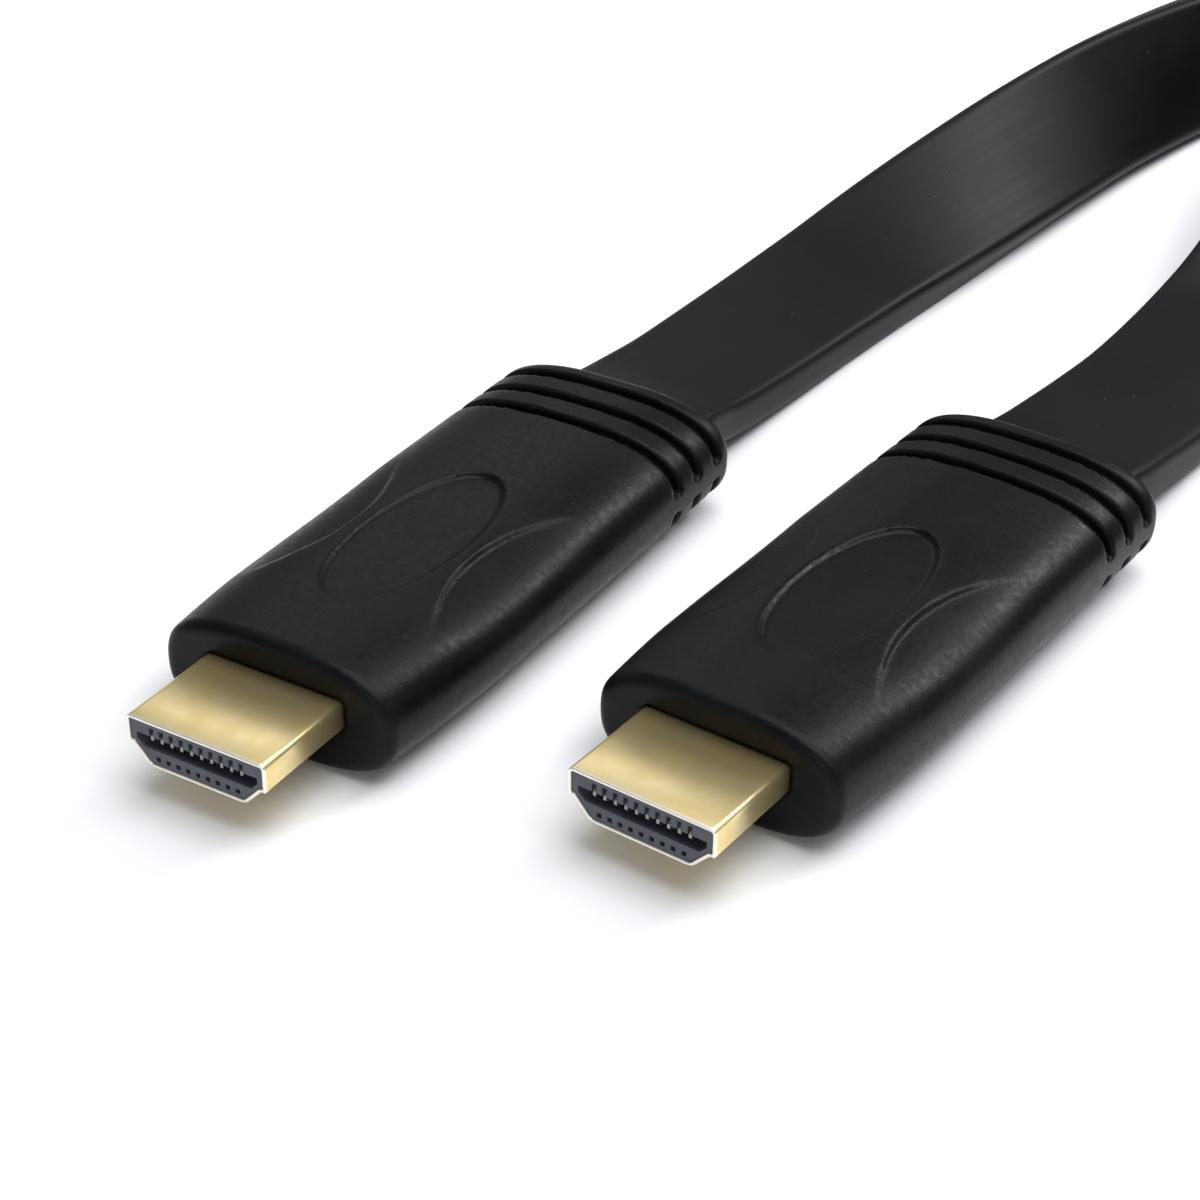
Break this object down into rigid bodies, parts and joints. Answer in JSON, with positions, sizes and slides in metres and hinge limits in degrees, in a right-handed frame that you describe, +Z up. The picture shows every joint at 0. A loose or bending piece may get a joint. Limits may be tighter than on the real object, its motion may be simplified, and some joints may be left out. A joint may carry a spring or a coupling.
{
  "type": "flat audio and video cable",
  "caption": "Flat ribbon audio and video cable with a gilt 19-contact plug in a black grooved overmould at each end, its middle wound and tied as for storage.",
  "frame": {"origin": "on the floor under the middle of the box round the two plugs, without the ribbon, its coil and the tie", "axes": "+Z up; +Y from the plugs' mating faces towards the ribbon; +X to the right of someone who looks along +Y"},
  "size_m": [0.2281, 0.3231, 0.0185],
  "materials": {
    "overmould": "satin black moulded vinyl with a fine grain",
    "ribbon": "satin black extruded vinyl with a fine grain",
    "gold_plate": "polished gold plate on folded steel sheet",
    "insulator": "blue-grey moulded plastic",
    "contact": "bright plated spring strip",
    "strap": "black woven hook-and-loop strap"
  },
  "bodies": {
    "root": {"plug_a_overmould": "overmould", "plug_a_shell": "gold_plate", "plug_a_insulator": "insulator", "plug_a_upper_contact_1": "contact", "plug_a_upper_contact_2": "contact", "plug_a_upper_contact_3": "contact", "plug_a_upper_contact_4": "contact", "plug_a_upper_contact_5": "contact", "plug_a_upper_contact_6": "contact", "plug_a_upper_contact_7": "contact", "plug_a_upper_contact_8": "contact", "plug_a_upper_contact_9": "contact", "plug_a_upper_contact_10": "contact", "plug_a_lower_contact_1": "contact", "plug_a_lower_contact_2": "contact", "plug_a_lower_contact_3": "contact", "plug_a_lower_contact_4": "contact", "plug_a_lower_contact_5": "contact", "plug_a_lower_contact_6": "contact", "plug_a_lower_contact_7": "contact", "plug_a_lower_contact_8": "contact", "plug_a_lower_contact_9": "contact", "plug_b_overmould": "overmould", "plug_b_shell": "gold_plate", "plug_b_insulator": "insulator", "plug_b_upper_contact_1": "contact", "plug_b_upper_contact_2": "contact", "plug_b_upper_contact_3": "contact", "plug_b_upper_contact_4": "contact", "plug_b_upper_contact_5": "contact", "plug_b_upper_contact_6": "contact", "plug_b_upper_contact_7": "contact", "plug_b_upper_contact_8": "contact", "plug_b_upper_contact_9": "contact", "plug_b_upper_contact_10": "contact", "plug_b_lower_contact_1": "contact", "plug_b_lower_contact_2": "contact", "plug_b_lower_contact_3": "contact", "plug_b_lower_contact_4": "contact", "plug_b_lower_contact_5": "contact", "plug_b_lower_contact_6": "contact", "plug_b_lower_contact_7": "contact", "plug_b_lower_contact_8": "contact", "plug_b_lower_contact_9": "contact", "ribbon_from_plug_a": "ribbon", "ribbon_from_plug_b": "ribbon", "ribbon_coil_1": "ribbon", "ribbon_coil_2": "ribbon", "ribbon_coil_3": "ribbon", "ribbon_coil_4": "ribbon", "ribbon_fold": "ribbon", "coil_tie": "strap"}
  },
  "joints": []
}
